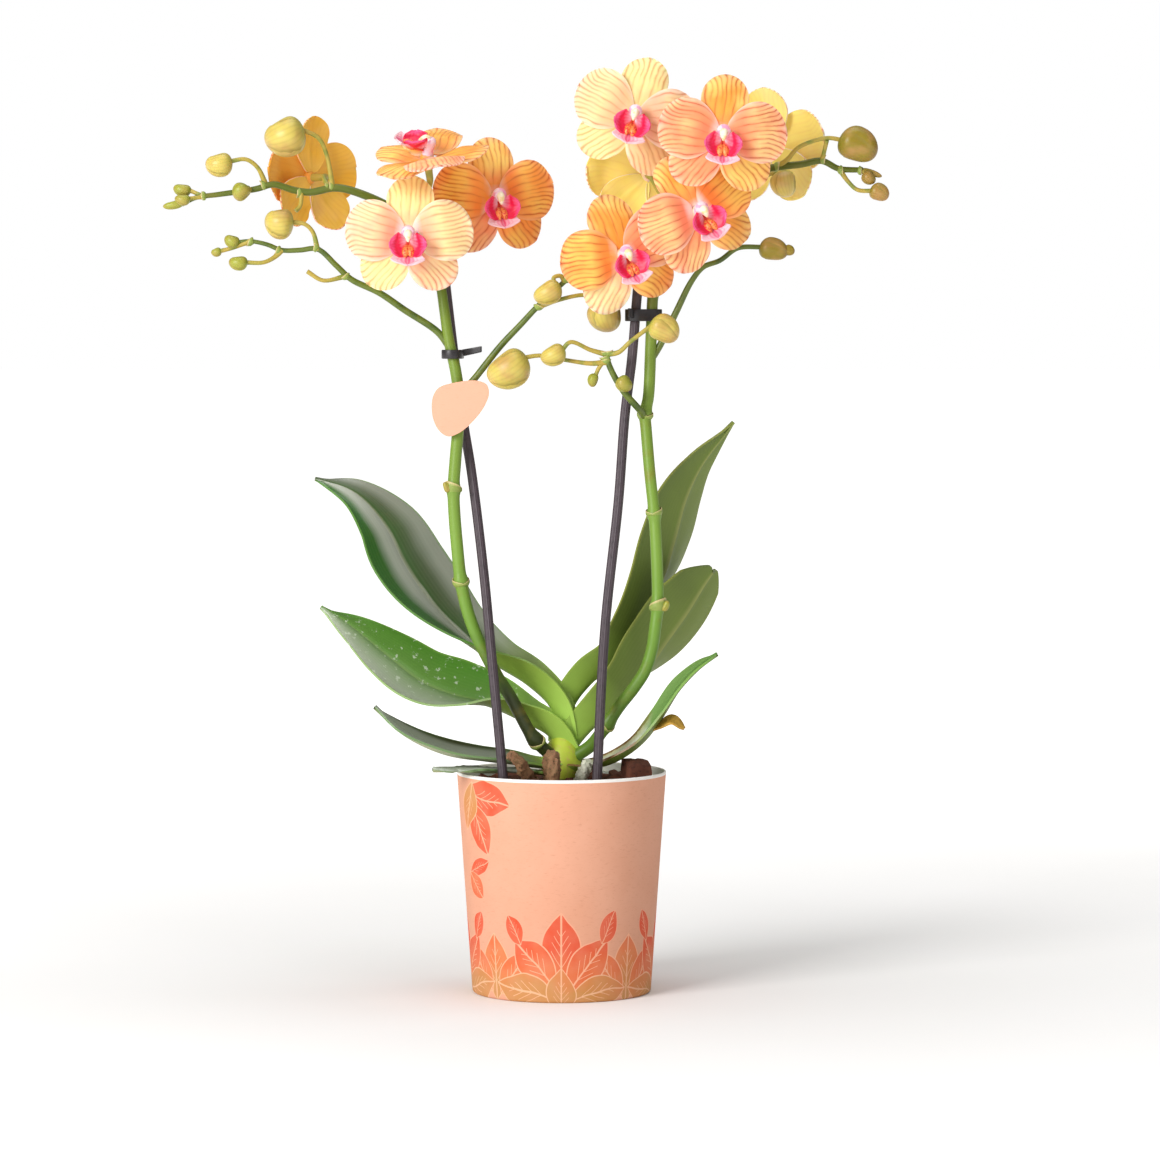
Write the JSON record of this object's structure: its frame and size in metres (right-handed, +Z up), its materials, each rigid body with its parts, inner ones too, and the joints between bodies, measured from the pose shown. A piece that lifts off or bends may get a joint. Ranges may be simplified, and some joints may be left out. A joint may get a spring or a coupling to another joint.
{
  "type": "potted moth orchid",
  "caption": "Potted moth orchid: staked arching sprays of striped peach blooms and buds over strap leaves, in a tapered kraft paperboard pot cover.",
  "frame": {"origin": "middle of the pot's flat underside", "axes": "+Z up, the side shown in the picture faces -Y, +X to its right"},
  "size_m": [0.3255, 0.0962, 0.4198],
  "materials": {
    "pot_cover": "printed kraft paperboard, matt, with a plain white rim",
    "nursery_pot": "thin clear plastic",
    "bark_mix": "rough chipped pine bark",
    "roots": "dry corky roots",
    "crown": "smooth fleshy leaf bases, soft sheen",
    "leaves": "thick waxy leaf, satin sheen",
    "flower_stalks": "smooth green stalk, satin",
    "petals": "soft petal with coral veins",
    "lips": "fleshy magenta lip with a pale column",
    "sticks": "dark ridged support stick",
    "clips": "black moulded clip",
    "tag": "plain peach card"
  },
  "bodies": {
    "root": {"pot_cover": "pot_cover", "nursery_pot": "nursery_pot", "bark_mix": "bark_mix", "roots": "roots", "crown": "crown", "leaf_upper_left": "leaves", "leaf_tall_right": "leaves", "leaf_middle_left": "leaves", "leaf_broad_right": "leaves", "leaf_lower_left": "leaves", "leaf_torn_left": "leaves", "leaf_narrow_right": "leaves", "spike_left": "flower_stalks", "spike_right": "flower_stalks", "stick_left": "sticks", "stick_right": "sticks", "clip_left": "clips", "clip_right": "clips", "tag": "tag", "bloom_left_1_tepals": "petals", "bloom_left_1_lip": "lips", "bloom_left_2_tepals": "petals", "bloom_left_2_lip": "lips", "bloom_left_3_tepals": "petals", "bloom_left_3_lip": "lips", "bloom_left_4_tepals": "petals", "bloom_left_4_lip": "lips", "bloom_right_1_tepals": "petals", "bloom_right_1_lip": "lips", "bloom_right_2_tepals": "petals", "bloom_right_2_lip": "lips", "bloom_right_3_tepals": "petals", "bloom_right_3_lip": "lips", "bloom_right_4_tepals": "petals", "bloom_right_4_lip": "lips", "bloom_right_5_tepals": "petals", "bloom_right_5_lip": "lips", "bloom_right_6_tepals": "petals", "bloom_right_6_lip": "lips"}
  },
  "joints": []
}
